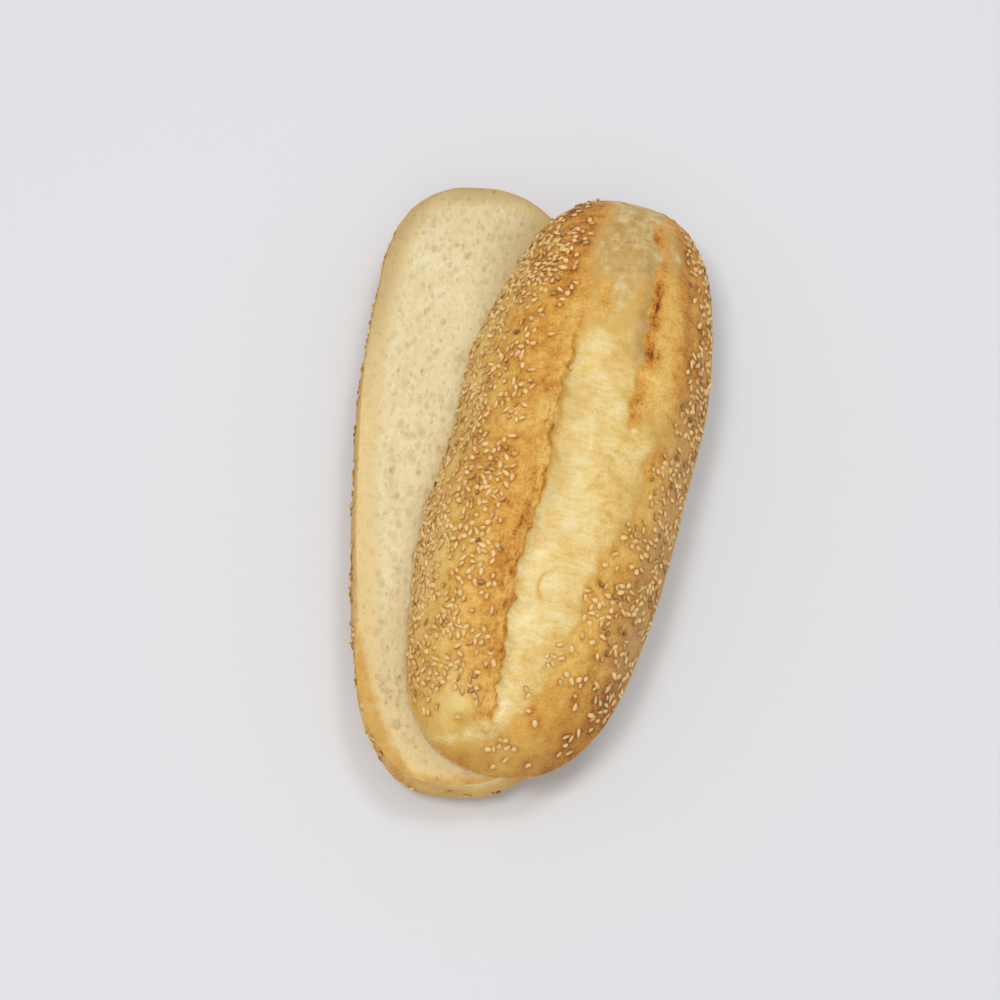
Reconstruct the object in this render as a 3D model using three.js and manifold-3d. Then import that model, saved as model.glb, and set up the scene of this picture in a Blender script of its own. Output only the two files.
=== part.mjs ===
// A seeded hoagie roll, sliced lengthwise into two halves. The bottom half lies on its base with the
// crumb facing up. The top half lies on that crumb, slid aside and turned a little.
// Millimetres, +Z up. X runs across the roll and Y along it, from the near end (-Y) to the far end (+Y).

import * as THREE from "three";
import { mergeVertices } from "three/addons/utils/BufferGeometryUtils.js";
import Module from "manifold-3d";

// The roll's form
const ROLL_HEIGHT = 60;
const WIDEST_LEVEL = 11; // height of the widest level above the base
const OUTLINE_POWER = 2.74; // of the plan outline: 2 is an ellipse, more is squarer
const DOME_POWER = 2.6; // of the section above the widest level
const DOME_ROOT = 1.57;
const END_POWER = 3; // of the side view above the widest level
const END_ROOT = 2.1;
const FOOT_POWER = 4; // of the section below the widest level, nearly flat underneath
const FOOT_ROOT = 2.3;
const FOOT_END_POWER = 6;
const FOOT_END_ROOT = 3;
const BASE_TRIM = 0.8; // pressed flat underneath, so that the roll rests on a flat base
const UNEVEN = 0.6; // height of the crust's shallow hollows and swellings
const UNEVEN_WAVES = [
  [7, 2, 0], // turns along the roll, turns across it, start
  [11, -3, 1],
];

// Each half's size at the widest level. The soft bread gave a little under the knife, so they differ.
// bow is how far the middle stands to the right of the ends. Each wave is a swelling of one edge:
// its height, how fast it repeats along the half and the place of one crest.
const WAVE_END_POWER = 8; // the waves die out towards the ends
const BOTTOM_FORM = {
  length: 237.5,
  width: 94.5,
  bow: 5.4,
  leftWave: [0.9, 7.3, 0.1],
  rightWave: [0.9, 6.5, -0.3],
};
const TOP_FORM = {
  length: 233,
  width: 95,
  bow: 0.3,
  leftWave: [0.7, 10.5, 0.33],
  rightWave: [1, 6, 0.35],
};

// The knife cut, and how the two halves were put down after it
const CUT_LEVEL = 24;
const CUT_GAP = 0.3; // air between the two crumb faces
const BOTTOM_TURN_DEG = -2.1;
const TOP_TURN_DEG = -14.4;
const TOP_SLIDE_X = 36.2;
const TOP_SLIDE_Y = -2.8;

// The slash along the top: a raised ear on its left, and the dough that burst open on its right.
// Places along the roll go from -1 at the near end to 1 at the far end.
const EAR_X = -6;
const EAR_SLANT = -2.4; // how far the ear moves across, from the middle to the far end
const EAR_WOBBLE = 1.2;
const EAR_WOBBLE_RATE = 10.5;
const EAR_WOBBLE_CREST = -0.19;
const EAR_WOBBLE_FADE = [0, 0.3]; // straight beyond this
const EAR_NEAR_FADE = [-0.93, -0.84]; // from no ear to a full one
const EAR_FAR_FADE = [0.3, 0.8]; // from a full ear to none
const EAR_RISE = 1.8;
const EAR_REACH = 5; // how far the rise runs to the left of the ear's edge
const EAR_STEP = 1.4; // width of the drop from the ear to the burst
const BURST_WIDTH = 42;
const BURST_DEPTH = 3;
const BURST_MIDDLE = 0.35; // place of the widest burst
const BURST_NEAR_SPAN = 1.3;
const BURST_FAR_SPAN = 0.975;
const CRACK_X = 20.3;
const CRACK_SLANT = -10;
const CRACK_DEPTH = 2.6;
const CRACK_HALF_WIDTH = 2.4;
const CRACK_NEAR_FADE = [0, 0.2];
const CRACK_FAR_FADE = [0.65, 0.85];
const RELIEF_FADE = 0.5; // share of the dome's rise below which the slash flattens out
const NARROWEST_FOR_LINES = 25; // half-width below which the slash's lines close up towards the ends

// Sesame seeds
const SEED_LENGTH = 3.1;
const SEED_WIDTH = 2;
const SEED_THICKNESS = 1;
const SEED_SINK = 0.15; // how deep a seed's middle lies under the crust
const SEED_SPACING = 4.4;
const SEED_CLEARANCE = 2; // kept between a seed's middle and a cut face
const SEED_REACH = 0.985; // share of the crust's length and width that seeds lie on
const SEED_LEFT_FADE = [4, 26]; // distances from the ear, from no seeds to the most
const SEED_RIGHT_FADE = [0, 8]; // distances from the burst
const SEED_NEAR_FADE = [-0.95, -0.6]; // places, from few seeds to the most
const SEED_NEAR_SHARE = 0.25;
const TOP_SEEDS = 148;
const BOTTOM_SEEDS = 40;
const SEED_DRAW = 7; // start of the random draw
const SEED_TRIES = 300; // places tried for each seed

// Fineness of the facets
const STATIONS = 56; // along the roll
const COLUMNS = { left: 11, ear: 2, step: 1, burst: 4, crack: 1, right: 9, foot: 14 };
const SEED_SIDES = 6;

const wasm = await Module();
wasm.setup();

// A three.js geometry as a solid that can be joined and cut
function solidOf(geometry) {
  const bare = geometry.clone();
  bare.deleteAttribute("normal");
  bare.deleteAttribute("uv");
  const merged = mergeVertices(bare);
  return new wasm.Manifold(
    new wasm.Mesh({
      numProp: 3,
      vertProperties: merged.attributes.position.array,
      triVerts: new Uint32Array(merged.index.array),
    }),
  );
}

// A solid as a three.js geometry
function geometryOf(solid) {
  const { vertProperties, triVerts } = solid.getMesh();
  const geometry = new THREE.BufferGeometry();
  geometry.setAttribute("position", new THREE.BufferAttribute(vertProperties, 3));
  geometry.setIndex(new THREE.BufferAttribute(triVerts, 1));
  geometry.computeVertexNormals();
  return geometry;
}

// A box that holds every part of the roll between two levels
function slab(low, high) {
  const side = 2 * BOTTOM_FORM.length;
  const box = new THREE.BoxGeometry(side, side, high - low);
  return solidOf(box.translate(0, 0, (low + high) / 2));
}

const { smoothstep, lerp, degToRad } = THREE.MathUtils;

// Along the roll, s goes from -1 at the near end to 1 at the far end
const outlineHalfWidth = (form, s) =>
  (form.width / 2) * (1 - Math.abs(s) ** OUTLINE_POWER) ** (1 / OUTLINE_POWER);
const crackX = (s) => CRACK_X + CRACK_SLANT * s * s;
function earX(s) {
  const wobble = Math.cos(EAR_WOBBLE_RATE * (s - EAR_WOBBLE_CREST));
  const fade = 1 - smoothstep(s, ...EAR_WOBBLE_FADE);
  return EAR_X + EAR_SLANT * s + EAR_WOBBLE * wobble * fade;
}
function burstWidth(s) {
  const span = s < BURST_MIDDLE ? BURST_NEAR_SPAN : BURST_FAR_SPAN;
  const turn = Math.min(1, Math.abs(s - BURST_MIDDLE) / span);
  return BURST_WIDTH * Math.cos((turn * Math.PI) / 2);
}

// The size of the crust at a place, as a share of its even size
function swelling(form, s, across) {
  const heights = UNEVEN_WAVES.map(([alongRate, acrossRate, start]) =>
    Math.sin(alongRate * s + acrossRate * across + start),
  );
  return 1 + (UNEVEN / form.width) * heights.reduce((sum, height) => sum + height);
}

// How far a place stands to the right of the even form
function sideways(form, s, across) {
  const [left, right] = [form.leftWave, form.rightWave].map(
    ([height, rate, crest]) => height * Math.cos(rate * (s - crest)),
  );
  const endFade = 1 - s ** WAVE_END_POWER;
  return form.bow * (1 - s * s) + (endFade * (right * (1 + across) - left * (1 - across))) / 2;
}

// Rise and fall of the slash, in millimetres, on the upper side
function slashRelief(s, x) {
  const edge = earX(s);
  const fade = smoothstep(s, ...EAR_NEAR_FADE) * (1 - smoothstep(s, ...EAR_FAR_FADE));
  if (x <= edge) return EAR_RISE * fade * Math.exp(-(((edge - x) / EAR_REACH) ** 2));
  const burst = Math.max(burstWidth(s), 2 * EAR_STEP);
  const hollow = BURST_DEPTH * fade * (1 - smoothstep(x - edge, EAR_STEP, burst));
  const crackFade = smoothstep(s, ...CRACK_NEAR_FADE) * (1 - smoothstep(s, ...CRACK_FAR_FADE));
  const groove = Math.max(0, 1 - Math.abs(x - crackX(s)) / CRACK_HALF_WIDTH);
  const drop = smoothstep(x - edge, 0, EAR_STEP);
  return EAR_RISE * fade * (1 - drop) - hollow * drop - CRACK_DEPTH * crackFade * groove;
}

// A point of the upper crust. across goes from -1 at the left to 1 at the right.
function upperPoint(form, s, across) {
  const swell = swelling(form, s, across);
  const end = (1 - Math.abs(s) ** END_POWER) ** (1 / END_ROOT);
  const arch = (1 - Math.min(1, Math.abs(across)) ** DOME_POWER) ** (1 / DOME_ROOT);
  const x = outlineHalfWidth(form, s) * across;
  const rise = (ROLL_HEIGHT - WIDEST_LEVEL) * end * arch * swell;
  const relief = slashRelief(s, x) * smoothstep(arch * end, 0, RELIEF_FADE);
  return new THREE.Vector3(
    x * swell + sideways(form, s, across),
    (form.length / 2) * s,
    WIDEST_LEVEL + rise + relief,
  );
}

// A point of the lower crust and the base
function lowerPoint(form, s, across) {
  const end = (1 - Math.abs(s) ** FOOT_END_POWER) ** (1 / FOOT_END_ROOT);
  const arch = (1 - Math.min(1, Math.abs(across)) ** FOOT_POWER) ** (1 / FOOT_ROOT);
  const x = outlineHalfWidth(form, s) * across * swelling(form, s, across);
  return new THREE.Vector3(
    x + sideways(form, s, across),
    (form.length / 2) * s,
    WIDEST_LEVEL - (WIDEST_LEVEL + BASE_TRIM) * end * arch,
  );
}

// Places across the upper side, from left to right, where the facets follow the ear and the crack
function columnsAcross(form, s) {
  const halfWidth = Math.max(outlineHalfWidth(form, s), NARROWEST_FOR_LINES);
  const ear = earX(s) / halfWidth;
  const foot = (earX(s) + EAR_STEP) / halfWidth;
  const crack = crackX(s) / halfWidth;
  const bank = CRACK_HALF_WIDTH / halfWidth;
  const inner = ear - EAR_REACH / halfWidth;
  const spread = (count, from, to, bend = (t) => t) =>
    Array.from({ length: count }, (_, i) => lerp(from, to, bend(i / count)));
  return [
    ...spread(COLUMNS.left, -1, inner, (t) => 1 - Math.cos((t * Math.PI) / 2)),
    ...spread(COLUMNS.ear, inner, ear),
    ...spread(COLUMNS.step, ear, foot),
    ...spread(COLUMNS.burst, foot, crack - bank),
    ...spread(COLUMNS.crack, crack - bank, crack),
    ...spread(COLUMNS.crack, crack, crack + bank),
    ...spread(COLUMNS.right, crack + bank, 1, (t) => Math.sin((t * Math.PI) / 2)),
    1,
  ];
}

// The roll as baked: a sphere whose poles are the two ends, drawn out over the crust
function bakedRoll(form) {
  const upperColumns = columnsAcross(form, 0).length - 1;
  const around = upperColumns + COLUMNS.foot;
  const sphere = new THREE.SphereGeometry(1, around, STATIONS);
  const { position, uv } = sphere.attributes;
  for (let i = 0; i < position.count; i++) {
    const s = THREE.MathUtils.clamp(position.getY(i), -1, 1);
    const column = Math.round(uv.getX(i) * around) % around;
    const atEnd = 1 - Math.abs(s) < 1e-9;
    const foot = Math.cos(((column - upperColumns) / COLUMNS.foot) * Math.PI);
    const crust =
      column <= upperColumns
        ? upperPoint(form, s, columnsAcross(form, s)[column])
        : lowerPoint(form, s, foot);
    if (atEnd) crust.set(0, (form.length / 2) * s, WIDEST_LEVEL);
    position.setXYZ(i, crust.x, crust.y, crust.z);
  }
  return solidOf(sphere);
}

// One sesame seed, lying along X with its blunt end at -X
const seedProfile = [
  [0, -0.5],
  [0.4, -0.32],
  [0.46, 0.05],
  [0, 0.5],
].map(([radius, along]) => new THREE.Vector2(radius, along));
const seedShape = new THREE.LatheGeometry(seedProfile, SEED_SIDES)
  .scale(SEED_WIDTH, SEED_LENGTH, SEED_THICKNESS)
  .rotateZ(-Math.PI / 2);

// A repeatable random draw between 0 and 1
function randomFrom(start) {
  let state = start;
  return () => {
    state = (state * 16807) % 2147483647;
    return state / 2147483647;
  };
}

// How likely a seed is at a place: thick on both flanks, thin by the ear and at the near end
function seedChance(s, x) {
  const leftFlank = smoothstep(earX(s) - x, ...SEED_LEFT_FADE);
  const rightFlank = smoothstep(x - earX(s) - burstWidth(s), ...SEED_RIGHT_FADE);
  const nearEnd = lerp(SEED_NEAR_SHARE, 1, smoothstep(s, ...SEED_NEAR_FADE));
  return Math.max(leftFlank, rightFlank) * nearEnd;
}

// Seeds on a half's upper crust between two levels, evenly spread where seeds lie
function scatterSeeds(form, count, [low, high], random) {
  const placed = [];
  const seeds = [];
  const nudge = 1e-3;
  for (let tries = 0; tries < SEED_TRIES * count && seeds.length < count; tries++) {
    const s = lerp(-SEED_REACH, SEED_REACH, random());
    const across = Math.sin((lerp(-SEED_REACH, SEED_REACH, random()) * Math.PI) / 2);
    const turn = random() * 2 * Math.PI;
    const chance = random();
    const point = upperPoint(form, s, across);
    const clear = point.z > low && point.z < high;
    const lonely = placed.every((other) => other.distanceTo(point) > SEED_SPACING);
    const seeded = chance < seedChance(s, outlineHalfWidth(form, s) * across);
    if (!clear || !lonely || !seeded) continue;
    const alongS = upperPoint(form, s + nudge, across).sub(point);
    const alongX = upperPoint(form, s, across + nudge).sub(point);
    const outward = alongX.cross(alongS).normalize();
    const lean = new THREE.Quaternion().setFromUnitVectors(new THREE.Vector3(0, 0, 1), outward);
    const place = new THREE.Matrix4()
      .makeRotationFromQuaternion(lean)
      .setPosition(point.clone().addScaledVector(outward, -SEED_SINK));
    seeds.push(solidOf(seedShape.clone().rotateZ(turn).applyMatrix4(place)));
    placed.push(point);
  }
  return seeds;
}

const joinAll = (solid, pieces) => pieces.reduce((joined, piece) => joined.add(piece), solid);
const random = randomFrom(SEED_DRAW);

const bottomCrust = bakedRoll(BOTTOM_FORM).intersect(slab(0, CUT_LEVEL));
const bottomSide = [WIDEST_LEVEL, CUT_LEVEL - SEED_CLEARANCE];
const bottomSeeds = scatterSeeds(BOTTOM_FORM, BOTTOM_SEEDS, bottomSide, random);
const bottomHalf = new THREE.Mesh(
  geometryOf(joinAll(bottomCrust, bottomSeeds)),
  new THREE.MeshStandardMaterial({ color: 0xe6d3a2, roughness: 0.95, metalness: 0 }),
);
bottomHalf.name = "bottom_half";
bottomHalf.rotation.z = degToRad(BOTTOM_TURN_DEG);

const overTop = 2 * ROLL_HEIGHT;
const topCrust = bakedRoll(TOP_FORM).intersect(slab(CUT_LEVEL, overTop));
const topSeeds = scatterSeeds(TOP_FORM, TOP_SEEDS, [CUT_LEVEL + SEED_CLEARANCE, overTop], random);
const topHalf = new THREE.Mesh(
  geometryOf(joinAll(topCrust, topSeeds)),
  new THREE.MeshStandardMaterial({ color: 0xd9a85a, roughness: 0.75, metalness: 0 }),
);
topHalf.name = "top_half";
topHalf.position.set(TOP_SLIDE_X, TOP_SLIDE_Y, CUT_GAP);
topHalf.rotation.z = degToRad(TOP_TURN_DEG);

// The origin is under the middle of the whole, on the surface that it lies on
const halves = new THREE.Group();
halves.add(bottomHalf, topHalf);
const box = new THREE.Box3().setFromObject(halves, true);
const middle = box.getCenter(new THREE.Vector3());
halves.position.set(-middle.x, -middle.y, -box.min.z);

const roll = new THREE.Group();
roll.name = "hoagie_roll";
roll.add(halves);

export default roll;
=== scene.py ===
import itertools
import math

import bpy
import numpy as np
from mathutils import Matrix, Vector
from mathutils.kdtree import KDTree


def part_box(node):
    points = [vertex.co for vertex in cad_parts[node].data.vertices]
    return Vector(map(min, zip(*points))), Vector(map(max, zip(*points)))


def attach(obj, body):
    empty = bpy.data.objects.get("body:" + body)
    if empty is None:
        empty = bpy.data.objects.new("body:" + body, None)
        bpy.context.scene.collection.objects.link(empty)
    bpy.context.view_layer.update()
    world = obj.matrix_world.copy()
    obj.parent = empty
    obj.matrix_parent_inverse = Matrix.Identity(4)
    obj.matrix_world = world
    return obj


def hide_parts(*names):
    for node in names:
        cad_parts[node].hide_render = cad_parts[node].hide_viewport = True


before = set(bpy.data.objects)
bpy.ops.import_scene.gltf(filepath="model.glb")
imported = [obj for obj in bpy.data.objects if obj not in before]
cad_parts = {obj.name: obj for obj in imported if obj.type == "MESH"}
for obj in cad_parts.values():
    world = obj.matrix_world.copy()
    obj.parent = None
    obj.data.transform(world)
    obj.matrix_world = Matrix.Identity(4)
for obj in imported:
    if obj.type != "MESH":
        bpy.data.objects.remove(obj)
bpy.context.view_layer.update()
mm = 0.001  # shapes are worked out in millimetres, meshes are in metres
tiny = 1e-9  # keeps divisions safe

# The roll as baked. s runs from -1 at the near end to 1 at the far end,
# across from -1 at the left edge to 1 at the right edge. Fades are ranges of s.
loaf = {
    "crown": 60, "widest": 11, "cut": 24,  # levels above the tray
    "baseTrim": 0.8,  # pressed flat by the tray
    "outlinePower": 2.74,
    "archPower": 2.6, "archRoot": 1.57, "endPower": 3, "endRoot": 2.1,
    "footPower": 4, "footRoot": 2.3, "footEndPower": 6, "footEndRoot": 3,
    "swell": 0.6, "swellWaves": ((7, 2, 0), (11, -3, 1)),  # mm; rate along, rate across, start
    "waveEndPower": 8, "leftInFade": (0.1, -0.5),
    "rows": 420, "crowding": 0.35,  # mesh rows, closer together towards the ends
}
bottomHalf = {
    "node": "bottom_half", "length": 237.5, "width": 94.5, "bow": 5.4, "turn": -2.1, "aside": 0.4,
    "leftWave": (0.9, 7.3, 0.1), "rightWave": (0.9, 6.5, -0.3),  # size, rate, crest
    "leftIn": 0.3, "leftInNear": 1,  # mm off its left side, and more by the near end
    "crumbColumns": 156, "wallLevels": 18, "baseColumns": 10,
}
topHalf = {
    "node": "top_half", "length": 233, "width": 95, "bow": 0.3, "turn": -14.4, "aside": 0,
    "leftWave": (0.7, 10.5, 0.33), "rightWave": (0.6, 6, 0.35), "leftIn": 0, "leftInNear": 0,
    "crumbColumns": 36, "crustColumns": 190, "earCrowding": 1.6, "earCrowdingReach": 6,
}


def ease(value, low, high):
    # 0 at low and 1 at high, where low may be the larger of the two
    share = np.clip((value - low) / (high - low), 0, 1)
    return share * share * (3 - 2 * share)


def hill(value, width):
    return np.exp(-(value / width) ** 2)


def lumps(points, size, draw):
    # smooth random swellings between -1 and 1, about size apart
    side = 64
    lattice = np.random.default_rng(draw).uniform(-1, 1, (side, side, side))
    spot = points / np.asarray(size, float)
    low = np.floor(spot).astype(int)
    share = ease(spot - low, 0, 1)
    total = np.zeros(points.shape[:-1])
    for corner in itertools.product((0, 1), repeat=3):
        weight = np.prod(np.where(corner, share, 1 - share), axis=-1)
        i, j, k = np.moveaxis((low + corner) % side, -1, 0)
        total += weight * lattice[i, j, k]
    return total


def uneven(points, waves, draw=0):
    # lumps added up: height of each, mm apart, random draw
    return sum(height * lumps(points, size, draw + number) for height, size, number in waves)


def zone(at, ranges):
    return math.prod(ease(at[key], low, high) for key, low, high in ranges)


def fading(start, *zones):
    return {"start": start, "zones": zones}


def painted(at, marks):
    # at holds coordinates by name. A zone is a share and the ranges over which it comes in, a line is
    # a coordinate, the value it follows, its reach, a share and ranges, a spot is s, x, its reach along
    # and across and a share, and what is patchy is mm apart, a random draw and marks of its own.
    total = marks.get("start", 0)
    for share, *ranges in marks.get("zones", ()):
        total = total + share * zone(at, ranges)
    for key, middle, reach, share, *ranges in marks.get("lines", ()):
        total = total + share * hill(at[key] - middle, reach) * zone(at, ranges)
    for s, x, along, aside, share in marks.get("spots", ()):
        total = total + share * hill(at["s"] - s, along) * hill(at["x"] - x, aside)
    for size, draw, patches in marks.get("patchy", ()):
        total = total + lumps(at["flat"], size, draw) * painted(at, patches)
    return total


# Outline and levels of the roll

def power(value, exponent):
    return np.clip(value, 0, 1) ** exponent


def halfWidth(form, s):
    return form["width"] / 2 * power(1 - np.abs(s) ** loaf["outlinePower"], 1 / loaf["outlinePower"])


def rounded(value, curve):
    return power(1 - np.abs(value) ** loaf[curve + "Power"], 1 / loaf[curve + "Root"])


def swelling(form, s, across):
    waves = sum(np.sin(along * s + aside * across + start) for along, aside, start in loaf["swellWaves"])
    return 1 + loaf["swell"] / form["width"] * waves


def edgeWave(wave, s):
    size, rate, crest = wave
    return size * np.cos(rate * (s - crest))


def sideways(form, s, across):
    # the roll bows and its two sides wave
    left = edgeWave(form["leftWave"], s) - form["leftIn"] - form["leftInNear"] * ease(s, *loaf["leftInFade"])
    waves = (edgeWave(form["rightWave"], s) * (1 + across) - left * (1 - across)) / 2
    return form["bow"] * (1 - s ** 2) + (1 - s ** loaf["waveEndPower"]) * waves


def levelParts(z):
    # the curves across and along the roll, and how far up or down them a level lies from the widest outline
    if z >= loaf["widest"]:
        return "arch", "end", (z - loaf["widest"]) / (loaf["crown"] - loaf["widest"])
    return "foot", "footEnd", (loaf["widest"] - z) / (loaf["widest"] + loaf["baseTrim"])


def levelReach(z):
    curve, share = levelParts(z)[1:]
    return (1 - share ** loaf[curve + "Root"]) ** (1 / loaf[curve + "Power"])


def levelAcross(s, z):
    curve, along, share = levelParts(z)
    part = share / np.maximum(rounded(s, along), share + tiny)
    return power(1 - part ** loaf[curve + "Root"], 1 / loaf[curve + "Power"])


def placed(form, s, across, z):
    x = halfWidth(form, s) * across * swelling(form, s, across) + sideways(form, s, across)
    return np.stack(np.broadcast_arrays(x, form["length"] / 2 * s, z), axis=-1)


def rowShares():
    even = np.linspace(-1, 1, loaf["rows"] + 1)
    return ((1 + loaf["crowding"]) * even - loaf["crowding"] * even ** 3)[:, None]


# Meshes

def normalsOf(grid):
    normal = np.cross(np.gradient(grid, axis=1), np.gradient(grid, axis=0))
    normal[0], normal[-1] = normal[1].mean(axis=0), normal[-2].mean(axis=0)
    return normal / np.maximum(np.linalg.norm(normal, axis=-1, keepdims=True), tiny)


def trianglesOf(index):
    # index is a grid of vertex numbers; a row that closes to one point gives single triangles
    a, b, c, d = index[:-1, :-1], index[:-1, 1:], index[1:, 1:], index[1:, :-1]
    faces = np.concatenate([np.stack(corners, -1).reshape(-1, 3) for corners in ((a, b, c), (a, c, d))])
    whole = (faces != np.roll(faces, 1, axis=1)).all(axis=1)
    return faces[whole]


def closedIndex(rows, columns):
    # a lens-shaped sheet: its first and last rows are one vertex each
    index = np.arange(rows * columns).reshape(rows, columns)
    index[0], index[-1] = index[0, 0], index[-1, 0]
    return index


def sheetIndex(left, right, columns, first):
    # a sheet between two rows of vertices that are there already
    index = first + np.arange(len(left) * columns).reshape(len(left), columns)
    index[:, 0], index[:, -1] = left, right
    index[0], index[-1] = left[0], left[-1]
    return index


def spread(masks, count, start, outside=()):
    # masks of some vertices for all of them; those named in outside are 1 elsewhere, the rest 0
    every = {}
    for key, values in masks.items():
        every[key] = np.full(count, float(key in outside))
        every[key][start:start + values.size] = values.ravel()
    return every


def settling(form, points):
    # turns a half on the table and sets it where the solid of that node is
    cosine, sine = math.cos(math.radians(form["turn"])), math.sin(math.radians(form["turn"]))
    turn = np.array([[cosine, sine, 0], [-sine, cosine, 0], [0, 0, 1]])
    turned = points @ turn
    low, high = (np.array(corner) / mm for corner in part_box(form["node"]))
    shift = (low + high - turned.min(axis=0) - turned.max(axis=0)) / 2
    shift[0] += form["aside"]
    shift[2] = low[2] - turned[:, 2].min()
    return lambda spots: spots @ turn + shift


def added(name, data):
    thing = bpy.data.objects.new(name, data)
    bpy.context.collection.objects.link(thing)
    return thing


def meshPiece(name, points, faces, masks, finishes, finishOfFace=None, sharpAngle=50):
    used, faces = np.unique(faces, return_inverse=True)
    faces = faces.reshape(-1, 3)
    mesh = bpy.data.meshes.new(name)
    mesh.from_pydata((points[used] * mm).tolist(), [], faces.tolist())
    for key, values in masks.items():
        flat = values[used]
        if flat.ndim == 2:
            mesh.attributes.new(key, "FLOAT_VECTOR", "POINT").data.foreach_set("vector", flat.ravel())
        else:
            mesh.attributes.new(key, "FLOAT", "POINT").data.foreach_set("value", flat)
    for finish in finishes:
        mesh.materials.append(finish)
    if finishOfFace is not None:
        mesh.polygons.foreach_set("material_index", finishOfFace)
    mesh.polygons.foreach_set("use_smooth", np.ones(len(faces), bool))
    mesh.set_sharp_from_angle(angle=math.radians(sharpAngle))
    mesh.update()
    print(name, len(faces), "triangles")
    return added(name, mesh)


def breadPiece(name, points, crustFaces, crumbFaces, masks):
    kinds = np.repeat([0, 1], [len(crustFaces), len(crumbFaces)])
    return meshPiece(name, points, np.concatenate((crustFaces, crumbFaces)), masks, [crust, crumb], kinds)


# Shader helpers

def tint(red, green, blue):
    # screen colour to the linear colour that a socket takes
    parts = (value / 255 for value in (red, green, blue))
    linear = [part / 12.92 if part <= 0.04045 else ((part + 0.055) / 1.055) ** 2.4 for part in parts]
    return (*linear, 1)


class Wire:
    def __init__(self, finish, socket):
        self.finish, self.socket = finish, socket

    def maths(self, operation, first, second):
        return self.finish.add("Math", {"operation": operation}, {0: first, 1: second})

    def __add__(self, other):
        return self.maths("ADD", self, other)

    def __sub__(self, other):
        return self.maths("SUBTRACT", self, other)

    def __rsub__(self, other):
        return self.maths("SUBTRACT", other, self)

    def __mul__(self, other):
        return self.maths("MULTIPLY", self, other)

    __radd__, __rmul__ = __add__, __mul__


class Finish:
    def __init__(self, name):
        self.material = bpy.data.materials.new(name)
        self.material.use_nodes = True
        self.nodes, self.links = self.material.node_tree.nodes, self.material.node_tree.links
        self.surface = self.nodes["Principled BSDF"]

    def add(self, kind, settings, sockets, output=0):
        node = self.nodes.new("ShaderNode" + kind)
        for key, value in settings.items():
            if key == "stops":
                self.setStops(node.color_ramp.elements, value)
            else:
                setattr(node, key, value)
        for key, value in sockets.items():
            self.feed(node.inputs[key], value)
        return Wire(self, node.outputs[output])

    def setStops(self, elements, stops):
        while len(elements) < len(stops):
            elements.new(1)
        for element, (position, colour) in zip(elements, stops):
            element.position, element.color = position, colour

    def feed(self, socket, value):
        if isinstance(value, Wire):
            self.links.new(value.socket, socket)
        else:
            socket.default_value = value

    def mask(self, name):
        return self.add("Attribute", {"attribute_name": name}, {}, "Fac")

    def place(self):
        return self.add("Attribute", {"attribute_name": "place"}, {}, "Vector")

    def stretch(self, where, factors):
        return self.add("VectorMath", {"operation": "MULTIPLY"}, {0: where, 1: factors})

    def cloud(self, where, size, detail=3, roughness=0.55):
        # cloudy noise, centred on 0, with features about size mm wide
        sockets = {"Vector": where, "Scale": 1 / size, "Detail": detail, "Roughness": roughness}
        return self.add("TexNoise", {}, sockets) - 0.5

    def warp(self, where, size, reach):
        # bends what follows by up to about half of reach
        bend = self.add("TexNoise", {}, {"Vector": where, "Scale": 1 / size, "Detail": 1}, "Color")
        return self.add("VectorMath", {"operation": "MULTIPLY_ADD"}, {0: bend, 1: (reach,) * 3, 2: where})

    def bubbles(self, where, size, share):
        # 1 in the middle of that share of the cells, which are about size mm wide
        sockets = {"Vector": where, "Scale": 1 / size}
        gap = self.add("TexVoronoi", {}, sockets, "Distance")
        lot = self.add("TexVoronoi", {}, sockets, "Color")
        return (1 - self.between(gap, 0.1, 0.48)) * self.between(lot, 1 - share, 1.1 - share)

    def ramp(self, value, *stops):
        return self.add("ValToRGB", {"stops": stops}, {0: value})

    def between(self, value, low, high):
        # 0 below low, 1 above high
        sockets = {"Value": value, "From Min": low, "From Max": high}
        return self.add("MapRange", {"interpolation_type": "SMOOTHSTEP"}, sockets)

    def mix(self, share, low, high, mode="MIX"):
        return self.add("Mix", {"data_type": "RGBA", "blend_type": mode}, {0: share, 6: low, 7: high}, 2)

    def relief(self, height, distance):
        # a bump of that many millimetres
        bump = self.add("Bump", {}, {"Height": height, "Distance": distance * mm})
        self.feed(self.surface.inputs["Normal"], bump)

    def wear(self, **values):
        for key, value in values.items():
            self.feed(self.surface.inputs[key.replace("_", " ")], value)


# Finishes

crustTints = {
    "stops": ((0.0, tint(241, 209, 133)), (0.25, tint(232, 189, 103)), (0.5, tint(216, 163, 73)),
              (0.78, tint(188, 122, 41)), (1.0, tint(124, 72, 22))),
    "burst": ((0.0, tint(206, 160, 82)), (0.35, tint(230, 192, 112)), (0.65, tint(242, 217, 153)),
              (1.0, tint(250, 237, 198))),
    "farBurst": ((0.0, tint(175, 124, 56)), (0.5, tint(200, 162, 96)), (1.0, tint(228, 204, 149))),
    "amber": (1, 0.92, 0.78, 1),  # laid over patches of the baked crust
    "ashen": tint(184, 149, 91),
    "dust": tint(208, 172, 112),
    "olive": tint(200, 161, 90),
}


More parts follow.
